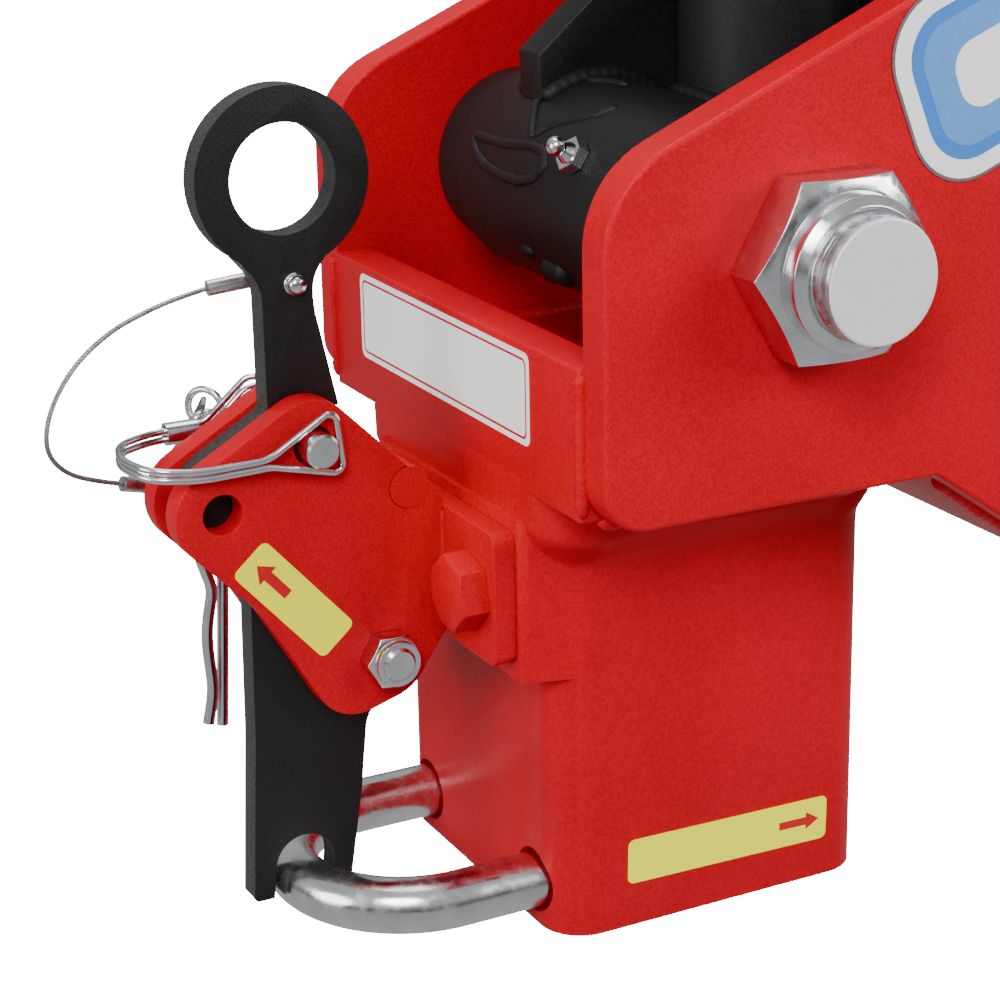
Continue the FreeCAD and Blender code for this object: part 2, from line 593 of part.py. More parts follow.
# ---------------------------------------------------------------- main pivot
at = ("pivot_x", "-1 * pivot_near + 3", "pivot_z")
shank = cyl("pivot_shank", "pivot_dia / 2", "pivot_near - 3 + cheek_mid + cheek_thick / 2 + 0.1", at, "y")
end = cone("pivot_end", "pivot_dia / 2", "pivot_dia / 2 - 1.8", 3.0, at, "-y")
head = rounded_hex("pivot_head", "head_flats", "head_high",
                   ("pivot_x", "cheek_mid + cheek_thick / 2 + 0.1", "pivot_z"), "y")
bolt = fuse("bolt_blank", [head, shank, end])
turned = []
for number in range(3):
    outer = cyl("groove_outer_%d" % number, "pivot_dia / 2 + 1", 0.9,
                ("pivot_x", -112.6 + 2.6 * number - 0.45, "pivot_z"), "y")
    inner = cyl("groove_inner_%d" % number, "pivot_dia / 2 - 0.7", 1.2,
                ("pivot_x", -112.6 + 2.6 * number - 0.6, "pivot_z"), "y")
    turned.append(cut("groove_%d" % number, outer, inner))
NODES.append(cut("pivot_bolt", bolt, fuse("turned_rings", turned)))
at = ("pivot_x", "-1 * cheek_mid - cheek_thick / 2 - 0.1", "pivot_z")
nut = rounded_hex("pivot_nut_hex", 46.4, "nut_high", at, "-y")
collar = cyl("pivot_nut_collar", "collar_dia / 2", "nut_high + collar_high - 2", at, "-y")
crimp = cone("pivot_nut_crimp", "collar_dia / 2", "collar_dia / 2 - 2.4", 2.0,
             ("pivot_x", "-1 * cheek_mid - cheek_thick / 2 - 0.1 - nut_high - collar_high + 2", "pivot_z"),
             "-y")
hole = cyl("pivot_nut_hole", "pivot_dia / 2 + 0.05", 40.0, at, "-y")
NODES.append(cut("pivot_locknut", fuse("pivot_nut_solid", [nut, collar, crimp]), hole))

# ---------------------------------------------------------------- arm
outer = cyl("arm_tube_outer", "tube_outer / 2", "tube_length",
            ("pivot_x", "-1 * tube_length / 2", "pivot_z"), "y")
inner = cyl("arm_tube_inner", "tube_inner / 2", "tube_length + 4",
            ("pivot_x", "-1 * tube_length / 2 - 2", "pivot_z"), "y")
lube_turn = math.radians(149)
lube_way = V(math.cos(lube_turn), 0, math.sin(lube_turn))
lube_rot = FreeCAD.Rotation(V(0, 0, 1), lube_way)
middle = V(dim("pivot_x"), -11, dim("pivot_z"))
start = middle + lube_way * 16.0
lube_hole = cyl("lube_hole", 3.1, 20.0, (start.x, start.y, start.z), lube_rot)
NODES.append(cut("pivot_tube", outer, fuse("tube_cuts", [inner, lube_hole])))
bushes = []
for number, low in ((1, "-1 * tube_length / 2"), (2, "tube_length / 2 - bush_length")):
    body = cyl("bush_outer_%d" % number, "bush_outer / 2", "bush_length", ("pivot_x", low, "pivot_z"), "y")
    hole = cyl("bush_inner_%d" % number, "bush_inner / 2", "bush_length + 4",
               ("pivot_x", low + " - 2", "pivot_z"), "y")
    bushes.append(cut("bush_%d" % number, body, hole))
NODES.append(group("pivot_bushings", bushes))
washers = []
for number, low in ((1, "-1 * inside_width / 2 + 0.05"), (2, "inside_width / 2 - 0.05 - washer_thick")):
    body = cyl("washer_outer_%d" % number, "washer_outer / 2", "washer_thick", ("pivot_x", low, "pivot_z"),
               "y")
    hole = cyl("washer_inner_%d" % number, "pivot_dia / 2 + 0.1", "washer_thick + 4",
               ("pivot_x", low + " - 2", "pivot_z"), "y")
    washers.append(cut("washer_%d" % number, body, hole))
NODES.append(group("thrust_washers", washers))

foot = middle + lube_way * 20.5
spot = middle + lube_way * 31.2
stem = cyl("lube_thread", 3.0, 11.0, (foot.x, foot.y, foot.z), lube_rot)
flats = hexagon("lube_hex", 8.7, 3.4, (spot.x, spot.y, spot.z), lube_rot)
spot = middle + lube_way * 34.5
neck = cone("lube_neck", 3.4, 2.0, 2.6, (spot.x, spot.y, spot.z), lube_rot)
spot = middle + lube_way * 38.6
knob = doc.addObject("Part::Sphere", "lube_knob")
knob.Radius = 2.9
put(knob, (spot.x, spot.y, spot.z), "z")
NODES.append(fuse("grease_fitting", [stem, flats, neck, knob]))

outer = cyl("stem_outer", "stem_dia / 2", "flange_z - stem_low", ("stem_x", 0.0, "stem_low"), "z")
inner = cyl("stem_inner", "stem_dia / 2 - stem_wall", "flange_z - stem_low + 4",
            ("stem_x", 0.0, "stem_low - 2"), "z")
cope = cyl("stem_cope", "tube_outer / 2 + 0.1", 120.0, ("pivot_x", -60.0, "pivot_z"), "y")
NODES.append(cut("stem_tube", cut("stem_pipe", outer, inner), cope))

tx, tz, tr = dim("pivot_x"), dim("pivot_z"), dim("tube_outer") / 2 + 0.1


def on_tube(angle):
    a = math.radians(angle)
    return V(tx + tr * math.cos(a), tz + tr * math.sin(a), 0)


far_points = [
    on_tube(-12), V(70.0, 176.0, 0), V(132.0, 218.9, 0), V(262.0, 218.9, 0), V(262.0, 226.0, 0),
    V(120.0, 289.8, 0), V(30.0, 289.8, 0), V(4.0, 221.0, 0), V(-14.0, 206.0, 0), on_tube(126),
]
far_edges = [Part.LineSegment(far_points[i], far_points[i + 1]) for i in range(len(far_points) - 1)]
far_edges.append(Part.Arc(far_points[-1], on_tube(57), far_points[0]))
NODES.append(plate("far_arm_gusset", "XZ_Plane", far_edges, "gusset_thick", {"y": "gusset_mid"}))
near_points = [
    (66.0, 178.0, 4), (74.0, 178.0, 4), (132.0, 218.9, 0), (262.0, 218.9, 0), (262.0, 226.0, 3),
    (120.0, 289.8, 0), (66.0, 289.8, 0),
]
NODES.append(plate("near_arm_gusset", "XZ_Plane", rounded(near_points), "gusset_thick",
                   {"y": "-1 * gusset_mid"}))
size = dim("flange_size") / 2
square = [
    (dim("stem_x") - size, -size, 8), (dim("stem_x") + size, -size, 8),
    (dim("stem_x") + size, size, 8), (dim("stem_x") - size, size, 8),
]
step = dim("flange_pitch") / 2
holes = [circle(dim("stem_x") + i * step, j * step, dim("flange_hole") / 2) for i in (-1, 1)
         for j in (-1, 1)]
NODES.append(plate("arm_top_flange", "XY_Plane", rounded(square), "flange_thick",
                   {"z": "flange_z + flange_thick / 2"}, holes))
pad_top = [(132, -50, 8), (262, -50, 8), (262, 50, 8), (132, 50, 8)]
holes = [circle(x, 0, 5.5) for x in stud_x]
NODES.append(plate("arm_bag_plate", "XY_Plane", rounded(pad_top), "plate_thick",
                   {"z": "bag_high + plate_thick / 2 + 0.05"}, holes))

# ---------------------------------------------------------------- air spring
beads = (("lower_bead_plate", "bag_low"), ("upper_bead_plate", "bag_high - bead_thick"))
for label, low in beads:
    NODES.append(cyl(label, "bead_dia / 2", "bead_thick", ("bag_x", 0.0, low), "z"))
    NODES[-1].Label = label
bottom, topmost = dim("bag_low") + 6.1, dim("bag_high") - 6.1
mid = (bottom + topmost) / 2
bulge = [
    (34, bottom, 0), (46, bottom, 0), (62, bottom + 7, 12), (66, (bottom + mid) / 2, 26),
    (60, mid - 6, 12), (50, mid, 3), (60, mid + 6, 12), (66, (mid + topmost) / 2, 26),
    (62, topmost - 7, 12), (46, topmost, 0), (34, topmost, 0), (34, topmost - 5, 0),
    (44, topmost - 6, 0), (56, topmost - 14, 6), (57, (mid + topmost) / 2, 0), (44, mid, 0),
    (57, (bottom + mid) / 2, 0), (56, bottom + 14, 6), (44, bottom + 6, 0), (34, bottom + 5, 0),
]
bag = new_body("air_bellows")
turned = bag.newObject("PartDesign::Revolution", "bellows_turn")
turned.Profile = sketch(bag, "XZ_Plane", "bellows_profile", rounded(bulge))
turned.ReferenceAxis = (turned.Profile[0], ["V_Axis"])
turned.Angle = 360
bind(bag, "Placement.Base.x", "bag_x")
doc.recompute()
NODES.append(bag)
hoop = doc.addObject("Part::Torus", "bellows_hoop")
hoop.Radius1 = 56.6
hoop.Radius2 = 2.6
put(hoop, ("bag_x", 0.0, mid), "z")
hoop.Label = "bellows_hoop"
NODES.append(hoop)

for label, face, turn, sign, reach in (
        ("bag_lower_bolts", "bag_low - plate_thick - 0.05", "-z", "z", 18.0),
        ("bag_upper_bolts", "bag_high + plate_thick + 0.1", "z", "-z", 18.0)):
    items = []
    for number, x in enumerate(stud_x, start=1):
        name = "%s_%d" % (label, number)
        head = rounded_hex(name + "_head", "stud_flats", 6.0, (x, 0.0, face), turn)
        washer = cyl(name + "_washer", 10.5, 1.6, (x, 0.0, face), turn)
        shank = cyl(name + "_shank", "stud_dia / 2", 12.6, (x, 0.0, face), sign)
        items.append(fuse(name, [head, washer, shank]))
    NODES.append(group(label, items))

base_z = dim("bag_high") + dim("plate_thick") + 0.1
lower = hexagon("air_hex", 14.3, 8.0, (dim("bag_x"), 0.0, base_z), "z")
post = cyl("air_post", 5.5, 14.0, (dim("bag_x"), 0.0, base_z), "z")
socket = cyl("air_socket", 5.5, 17.0, (dim("bag_x") - 3.0, 0.0, base_z + 13.0), "x")
hole = cyl("air_hole", 3.3, 12.0, (dim("bag_x") + 4.5, 0.0, base_z + 13.0), "x")
NODES.append(cut("air_fitting", fuse("air_solid", [lower, post, socket]), hole))

# ---------------------------------------------------------------- check and write
doc.recompute()
problems = []
for obj in doc.Objects:
    if "Invalid" in obj.State or "Error" in obj.State:
        problems.append("%s: %s" % (obj.Label, obj.State))
for node in NODES:
    shape = node.Shape
    if shape.isNull() or not shape.isValid() or shape.Volume < 1.0:
        problems.append("%s: bad shape" % node.Label)
if problems:
    raise RuntimeError("; ".join(problems))
names = [node.Label for node in NODES]
if len(set(names)) != len(names):
    raise RuntimeError("two parts share a name")
for node in NODES:
    node.Shape.exportStep(os.path.join("parts", node.Label + ".step"))
    box = node.Shape.BoundBox
    print("%-20s solids %d  volume %9.0f  X %7.1f %7.1f  Y %7.1f %7.1f  Z %7.1f %7.1f" % (
        node.Label, len(node.Shape.Solids), node.Shape.Volume, box.XMin, box.XMax, box.YMin, box.YMax,
        box.ZMin, box.ZMax))
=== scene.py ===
"""Looks of a red gooseneck coupler head with a lever latch and a cushioned black arm.
Row frame: origin at the seated ball's centre, metres, +Z up, lever towards -X, near side -Y."""

import json
import math
import random

import bmesh
import bpy
from mathutils import Matrix, Vector


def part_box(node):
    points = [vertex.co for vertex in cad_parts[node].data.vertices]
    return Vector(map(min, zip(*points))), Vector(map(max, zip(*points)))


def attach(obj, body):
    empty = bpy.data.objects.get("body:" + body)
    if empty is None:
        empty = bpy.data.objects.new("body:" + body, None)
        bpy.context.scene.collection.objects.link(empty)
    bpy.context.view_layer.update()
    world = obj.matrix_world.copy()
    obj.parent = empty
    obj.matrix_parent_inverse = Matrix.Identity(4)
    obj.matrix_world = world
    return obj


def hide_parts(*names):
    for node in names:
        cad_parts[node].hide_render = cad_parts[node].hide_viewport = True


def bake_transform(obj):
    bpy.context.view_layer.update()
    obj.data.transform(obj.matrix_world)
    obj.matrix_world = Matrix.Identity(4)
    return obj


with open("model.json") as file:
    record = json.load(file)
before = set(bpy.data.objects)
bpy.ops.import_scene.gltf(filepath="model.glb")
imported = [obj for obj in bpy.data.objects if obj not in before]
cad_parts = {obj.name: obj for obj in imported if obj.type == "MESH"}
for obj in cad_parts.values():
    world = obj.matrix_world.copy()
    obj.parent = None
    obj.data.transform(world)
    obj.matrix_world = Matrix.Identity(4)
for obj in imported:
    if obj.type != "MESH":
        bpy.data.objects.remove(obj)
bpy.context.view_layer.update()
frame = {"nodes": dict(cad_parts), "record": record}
nodes = frame["nodes"]
random.seed(7)
MM = 0.001
CREASE = 34  # degrees between faces that stay a crisp corner


def mm(*values):
    return Vector([v * MM for v in values])


# ------------------------------------------------------------------ camera
def add_camera():
    """Placed and turned as the product picture was taken: 27 degrees round, 18 down, 1 rolled."""
    data = bpy.data.cameras.new("camera")
    data.angle = math.radians(22.556)
    data.shift_x = -0.0240
    data.shift_y = -0.0317
    data.clip_start = 0.01
    camera = bpy.data.objects.new("camera", data)
    bpy.context.scene.collection.objects.link(camera)
    turn, down, roll = math.radians(27.3), math.radians(18.0), math.radians(-1.0)
    forward = Vector((math.sin(turn) * math.cos(down), math.cos(turn) * math.cos(down), -math.sin(down)))
    right0 = Vector((math.cos(turn), -math.sin(turn), 0))
    up0 = right0.cross(forward)
    right = right0 * math.cos(roll) + up0 * math.sin(roll)
    up = up0 * math.cos(roll) - right0 * math.sin(roll)
    place = Matrix((right, up, -forward)).transposed().to_4x4()
    place.translation = mm(-344.1, -600.8, 313.5)
    camera.matrix_world = place
    bpy.context.scene.camera = camera


add_camera()


# ------------------------------------------------------------------ mesh helpers
def new_object(name, bm, material=None, smooth=True):
    mesh = bpy.data.meshes.new(name)
    bmesh.ops.recalc_face_normals(bm, faces=bm.faces)
    bm.to_mesh(mesh)
    bm.free()
    for poly in mesh.polygons:
        poly.use_smooth = smooth
    piece = bpy.data.objects.new(name, mesh)
    bpy.context.scene.collection.objects.link(piece)
    if material:
        mesh.materials.append(material)
    return piece


def frames_along(points):
    """Tangent and two normals at each point of an open line, turned as little as possible."""
    count = len(points)
    tangents = []
    for i in range(count):
        before = points[i - 1] if i else points[i]
        after = points[i + 1] if i < count - 1 else points[i]
        tangents.append((after - before).normalized())
    side = tangents[0].orthogonal().normalized()
    out = []
    for tangent in tangents:
        side = (side - tangent * side.dot(tangent)).normalized()
        out.append((tangent, side, tangent.cross(side)))
    return out


def add_tube(bm, points, radius, sides):
    """A capped tube. radius is a number, or a function of the point's index and the angle."""
    rings = []
    for i, (tangent, side, other) in enumerate(frames_along(points)):
        ring = []
        for k in range(sides):
            angle = 2 * math.pi * k / sides
            r = radius(i, angle) if callable(radius) else radius
            ring.append(bm.verts.new(points[i] + (side * math.cos(angle) + other * math.sin(angle)) * r))
        rings.append(ring)
    for one, two in zip(rings, rings[1:]):
        for k in range(sides):
            bm.faces.new((one[k], one[(k + 1) % sides], two[(k + 1) % sides], two[k]))
    bm.faces.new(rings[0][::-1])
    bm.faces.new(rings[-1])


def nurbs_points(name, route):
    """Points read from a smooth spline that has the route as its control points."""
    curve = bpy.data.curves.new(name, "CURVE")
    curve.dimensions = "3D"
    curve.resolution_u = 24
    spline = curve.splines.new("NURBS")
    spline.points.add(len(route) - 1)
    for point, place in zip(spline.points, route):
        point.co = (*place, 1)
    spline.order_u = 3
    spline.use_endpoint_u = True
    holder = bpy.data.objects.new(name, curve)
    bpy.context.scene.collection.objects.link(holder)
    bpy.context.view_layer.update()
    mesh = bpy.data.meshes.new_from_object(holder)
    points = [Vector(v.co) for v in mesh.vertices]
    bpy.data.objects.remove(holder)
    bpy.data.meshes.remove(mesh)
    return points


def even(points, step):
    """The same line with points every step."""
    out = [points[0].copy()]
    left = step
    for a, b in zip(points, points[1:]):
        run = (b - a).length
        done = 0.0
        while run - done > left:
            done += left
            out.append(a + (b - a) * (done / run))
            left = step
        left -= run - done
    out.append(points[-1].copy())
    return out


def lathe(name, profile, origin, axis, material, sides):
    """profile is (distance along the axis, radius) in millimetres, from origin along axis."""
    axis = Vector(axis).normalized()
    side = axis.orthogonal().normalized()
    other = axis.cross(side)
    bm = bmesh.new()
    rings = []
    for along, radius in profile:
        centre = Vector(origin) + axis * along * MM
        if radius <= 0:
            rings.append([bm.verts.new(centre)])
            continue
        rings.append([bm.verts.new(centre + (side * math.cos(2 * math.pi * k / sides) +
                                             other * math.sin(2 * math.pi * k / sides)) * radius * MM)
                      for k in range(sides)])
    for one, two in zip(rings, rings[1:]):
        for k in range(sides):
            j = (k + 1) % sides
            if len(one) == 1:
                bm.faces.new((one[0], two[j], two[k]))
            elif len(two) == 1:
                bm.faces.new((one[k], one[j], two[0]))
            else:
                bm.faces.new((one[k], one[j], two[j], two[k]))
    return new_object(name, bm, material)


# ------------------------------------------------------------------ material helpers
class Shader:
    """A small builder for procedural materials in the row frame's coordinates."""

    def __init__(self, name, metallic=0.0, roughness=0.5):
        self.material = bpy.data.materials.new(name)
        self.material.use_nodes = True
        self.tree = self.material.node_tree
        self.shader = self.tree.nodes["Principled BSDF"]
        self.shader.inputs["Metallic"].default_value = metallic
        self.shader.inputs["Roughness"].default_value = roughness
        self.place = self.tree.nodes.new("ShaderNodeTexCoord").outputs["Object"]
        self.normal = None

    def link(self, a, b):
        self.tree.links.new(a, b)

    def noise(self, scale, detail=3.0, rough=0.5, stretch=None):
        node = self.tree.nodes.new("ShaderNodeTexNoise")
        node.inputs["Scale"].default_value = scale
        node.inputs["Detail"].default_value = detail
        node.inputs["Roughness"].default_value = rough
        source = self.place
        if stretch:
            mapping = self.tree.nodes.new("ShaderNodeMapping")
            mapping.inputs["Scale"].default_value = stretch
            self.link(source, mapping.inputs["Vector"])
            source = mapping.outputs["Vector"]
        self.link(source, node.inputs["Vector"])
        return node.outputs["Fac"]

    def cells(self, scale):
        node = self.tree.nodes.new("ShaderNodeTexVoronoi")
        node.inputs["Scale"].default_value = scale
        self.link(self.place, node.inputs["Vector"])
        return node.outputs["Distance"]

    def ramp(self, value, stops):
        node = self.tree.nodes.new("ShaderNodeValToRGB")
        band = node.color_ramp
        while len(band.elements) < len(stops):
            band.elements.new(0.5)
        for element, (position, colour) in zip(band.elements, stops):
            element.position = position
            element.color = (*colour, 1) if len(colour) == 3 else colour
        self.link(value, node.inputs["Fac"])
        return node.outputs["Color"]

    def mix(self, factor, a, b, mode="MIX"):
        node = self.tree.nodes.new("ShaderNodeMix")
        node.data_type = "RGBA"
        node.blend_type = mode
        for socket, value in zip((node.inputs[0], node.inputs[6], node.inputs[7]), (factor, a, b)):
            if hasattr(value, "links"):
                self.link(value, socket)
            elif isinstance(value, tuple):
                socket.default_value = (*value, 1)
            else:
                socket.default_value = value
        return node.outputs[2]

    def bump(self, height, strength, distance):
        node = self.tree.nodes.new("ShaderNodeBump")
        node.inputs["Strength"].default_value = strength
        node.inputs["Distance"].default_value = distance
        self.link(height, node.inputs["Height"])
        if self.normal:
            self.link(self.normal, node.inputs["Normal"])
        self.normal = node.outputs["Normal"]

    def done(self, colour=None, roughness=None):
        if colour is not None:
            if hasattr(colour, "links"):
                self.link(colour, self.shader.inputs["Base Color"])
            else:
                self.shader.inputs["Base Color"].default_value = (*colour, 1)
        if roughness is not None:
            self.link(roughness, self.shader.inputs["Roughness"])
        if self.normal:
            self.link(self.normal, self.shader.inputs["Normal"])
        return self.material

    def facing(self, axis):
        """1 where the surface faces along the given row axis, either way, and 0 across it."""
        geometry = self.tree.nodes.new("ShaderNodeTexCoord")
        split = self.tree.nodes.new("ShaderNodeSeparateXYZ")
        self.link(geometry.outputs["Normal"], split.inputs[0])
        flat = self.tree.nodes.new("ShaderNodeMath")
        flat.operation = "ABSOLUTE"
        self.link(split.outputs["XYZ".index(axis)], flat.inputs[0])
        return flat.outputs[0]


def red_coat(name, grain, depth, dark=0.82):
    """Bright red powder coat: fine orange-peel grain, faint mottling, tiny bright specks."""
    s = Shader(name, roughness=0.42)
    s.shader.inputs["Specular IOR Level"].default_value = 0.16
    broad = s.ramp(s.noise(22, 4), [(0.3, (0.64, 0.0, 0.010)), (0.7, (0.73, 0.0, 0.014))])
    fine = s.ramp(s.noise(grain, 2), [(0.35, (dark, dark, dark)), (0.62, (1.0, 1.0, 1.0))])
    colour = s.mix(1.0, broad, fine, "MULTIPLY")
    sparkle = s.ramp(s.noise(grain * 1.6, 1), [(0.70, (0, 0, 0)), (0.76, (1, 1, 1))])
    colour = s.mix(s.mix(0.5, (0, 0, 0), sparkle), colour, (0.90, 0.006, 0.028))
    s.bump(s.noise(grain * 0.55, 2), 0.30, depth)
    s.bump(s.noise(90, 4), 0.25, depth * 2.2)
    rough = s.ramp(s.noise(grain, 2), [(0.3, (0.34, 0.34, 0.34)), (0.7, (0.50, 0.50, 0.50))])
    return s.done(colour, rough)


def black_coat(name, base, grain, depth, edge=None):
    """Black powder coat with a pebbled grain; faces across the Y axis, the plates' edges, are greyer when edge is
    given.
    """
    s = Shader(name, roughness=0.5)
    s.shader.inputs["Specular IOR Level"].default_value = 0.3
    colour = s.ramp(s.noise(grain, 2), [(0.3, [base * 0.65] * 3), (0.62, [base * 1.25] * 3),
                                        (0.78, [base * 2.4] * 3)])
    if edge:
        lighter = s.ramp(s.noise(grain * 0.6, 3), [(0.3, [edge * 0.6] * 3), (0.7, [edge * 1.3] * 3)])
        side = s.ramp(s.facing("Y"), [(0.25, (1, 1, 1)), (0.75, (0, 0, 0))])
        colour = s.mix(side, colour, lighter)
    s.bump(s.cells(grain * 0.8), 0.45, depth)
    s.bump(s.noise(120, 3), 0.2, depth * 2)
    rough = s.ramp(s.noise(grain, 2), [(0.3, (0.42, 0.42, 0.42)), (0.7, (0.62, 0.62, 0.62))])
    return s.done(colour, rough)


def bright_metal(name, tint, rough=0.2, stretch=(1, 1, 1), depth=0.00004, dull=0.84):
    """Zinc-plated or machined metal: cloudy sheen, fine drawn lines along the low stretch axis."""
    s = Shader(name, metallic=1.0)
    cloud = s.ramp(s.noise(130, 4), [(0.3, [c * dull for c in tint]), (0.65, tint)])
    s.bump(s.noise(1400, 2, 0.5, stretch), 0.35, depth)
    s.bump(s.noise(260, 3), 0.15, depth * 2)
    shine = s.ramp(s.noise(300, 3), [(0.3, [rough * 0.7] * 3), (0.75, [rough * 1.7] * 3)])
    return s.done(cloud, shine)


def printed(name, colour, wear=0.93, painted_glow=0.0):
    """Printed vinyl: slight ink variation, a satin face, and a painted glow that makes the ink brighter than the
    lamps light it.
    """
    s = Shader(name, roughness=0.38)
    ink = s.ramp(s.noise(420, 3), [(0.3, [c * wear for c in colour]), (0.7, colour)])
    s.link(ink, s.shader.inputs["Emission Color"])
    s.shader.inputs["Emission Strength"].default_value = painted_glow
    s.bump(s.noise(300, 2), 0.12, 0.00003)
    return s.done(ink, s.ramp(s.noise(260, 2), [(0.3, (0.3, 0.3, 0.3)), (0.7, (0.45, 0.45, 0.45))]))


def rubber(name):
    s = Shader(name, roughness=0.7)
    colour = s.ramp(s.noise(240, 4), [(0.3, (0.010, 0.010, 0.011)), (0.7, (0.028, 0.028, 0.029))])
    s.bump(s.noise(1500, 2, 0.5, (1, 1, 0.25)), 0.4, 0.00012)
    return s.done(colour, s.ramp(s.noise(90, 3), [(0.3, (0.55, 0.55, 0.55)), (0.7, (0.78, 0.78, 0.78))]))


RED = red_coat("red_powder_coat", 1500, 0.00010)
CAST = red_coat("red_cast_steel", 900, 0.00024, 0.86)
RED_SMALL = red_coat("red_hardware", 1700, 0.00008)
LEVER_BLACK = black_coat("black_lever_coat", 0.0105, 1500, 0.00016, edge=0.045)
ARM_BLACK = black_coat("black_arm_coat", 0.009, 2300, 0.00005)
ZINC = bright_metal("zinc_steel", (0.80, 0.82, 0.85), 0.17)
ROD = bright_metal("zinc_rod", (0.78, 0.80, 0.82), 0.20, (0.12, 1, 1), 0.00005)
TURNED = bright_metal("zinc_turned", (0.80, 0.82, 0.84), 0.26, (1, 0.1, 1), 0.00002)
# Painted reflection: the faced bolt end is near-white and barely metallic, so it shows bright as if it mirrored a
# bright surround.
FACED_PAINTED_REFLECTION = bright_metal("zinc_faced", (0.95, 0.97, 0.94), 0.34, (1, 0.1, 1), 0.00003, dull=0.95)
FACED_PAINTED_REFLECTION.node_tree.nodes["Principled BSDF"].inputs["Metallic"].default_value = 0.15
CRIMP = bright_metal("aluminium_crimp", (0.74, 0.72, 0.70), 0.28)
CABLE = bright_metal("steel_cable", (0.50, 0.50, 0.50), 0.30, dull=0.5)
BRONZE = bright_metal("bronze", (0.55, 0.36, 0.15), 0.35)
BRASS = bright_metal("brass_fitting", (0.80, 0.58, 0.24), 0.22)
RUBBER = rubber("black_rubber")
# The white ink and the yellow decal ink glow a little: painted light that lifts them brighter than the lamps make
# them.
WHITE_INK = printed("label_white", (0.90, 0.90, 0.89), 0.97, 0.4)
RED_INK = printed("label_red", (0.70, 0.004, 0.012))
GREY_INK = printed("label_grey", (0.16, 0.16, 0.17))
YELLOW_INK = printed("decal_yellow", (0.96, 0.98, 0.0), 0.97, 0.3)
BLUE_INK = printed("sticker_blue", (0.05, 0.26, 0.80))
PALE_BLUE_INK = printed("sticker_pale_blue", (0.14, 0.38, 0.88))
SLOT_MATERIAL = {
    "red_powder_coat": RED, "red_cast_steel": CAST, "red_hardware": RED_SMALL,
    "black_lever_coat": LEVER_BLACK, "black_arm_coat": ARM_BLACK, "zinc_steel": ZINC,
    "aluminium_crimp": CRIMP, "steel_cable": CABLE, "bronze": BRONZE, "dark_polymer": ARM_BLACK,
    "black_rubber": RUBBER, "brass_fitting": BRASS,
}
slot_of = {entry["node"]: entry["material_slot"] for entry in frame["record"]["subparts"]}
body_of = {node: body for body, names in frame["record"]["behaviour"]["bodies"].items() for node in names}
MATERIAL_OF_NODE = {"u_latch_rod": ROD, "pivot_bolt": TURNED, "lever_pivot_bolt": ZINC,
                    "lever_pivot_nut": ZINC}

for name, node in nodes.items():
    node.data.materials.clear()
    node.data.materials.append(MATERIAL_OF_NODE.get(name, SLOT_MATERIAL[slot_of[name]]))

# ------------------------------------------------------------------ lanyard, before everything else
LANYARD_ROUTE = [mm(*p) for p in (
    (-123.3, 6.9, 156.3), (-130.0, 7.6, 154.9), (-138.5, 8.6, 152.3), (-149.5, 9.9, 147.6),
    (-159.5, 11.2, 139.4), (-166.2, 12.7, 128.3), (-168.0, 14.4, 117.2), (-163.2, 16.2, 109.6),
    (-154.4, 18.2, 105.0), (-145.8, 20.0, 102.3),
)]


def add_lanyard():
    """Six strands laid round a core, following the spline of the route."""
    line = even(nurbs_points("lanyard_route", LANYARD_ROUTE), 0.4 * MM)
    bm = bmesh.new()
    steps = frames_along(line)
    add_tube(bm, line, 0.36 * MM, 6)
    for strand in range(6):
        twisted = []
        for i, (tangent, side, other) in enumerate(steps):
            angle = 2 * math.pi * strand / 6 + 2 * math.pi * i * 0.4 / 6.5
            twisted.append(line[i] + (side * math.cos(angle) + other * math.sin(angle)) * 0.48 * MM)
        add_tube(bm, twisted, 0.27 * MM, 6)
    piece = new_object("lanyard_rope", bm, CABLE)
    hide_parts("lanyard_cable")
    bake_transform(piece)


add_lanyard()


# ------------------------------------------------------------------ eased copies of the CAD plates
def eased(name, width):
    """A copy of a CAD node with its sharp edges rounded as a coated or machined edge is."""
    source = nodes[name]
    mesh = source.data.copy()
    bm = bmesh.new()
    bm.from_mesh(mesh)
    bmesh.ops.remove_doubles(bm, verts=bm.verts, dist=1e-6)
    bmesh.ops.dissolve_limit(bm, angle_limit=math.radians(0.6), verts=bm.verts, edges=bm.edges)
    bm.to_mesh(mesh)
    bm.free()
    piece = bpy.data.objects.new(name + "_eased", mesh)
    bpy.context.scene.collection.objects.link(piece)
    bevel = piece.modifiers.new("edge", "BEVEL")
    bevel.width = width * MM
    bevel.segments = 3
    bevel.limit_method = "ANGLE"
    bevel.angle_limit = math.radians(32)
    bevel.use_clamp_overlap = True
    bevel.harden_normals = False
    bpy.context.view_layer.update()
    applied = bpy.data.meshes.new_from_object(piece.evaluated_get(bpy.context.evaluated_depsgraph_get()))
    piece.modifiers.clear()
    piece.data = applied
    for poly in applied.polygons:
        poly.use_smooth = True
    mark_sharp(applied, CREASE)
    applied.materials.clear()
    applied.materials.append(source.data.materials[0])
    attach(piece, body_of[name])
    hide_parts(name)


def mark_sharp(mesh, degrees):
    """Keeps true corners crisp on a smooth-shaded mesh."""
    bm = bmesh.new()
    bm.from_mesh(mesh)
    for edge in bm.edges:
        if len(edge.link_faces) == 2:
            edge.smooth = edge.calc_face_angle(0.0) < math.radians(degrees)
    bm.to_mesh(mesh)
    bm.free()


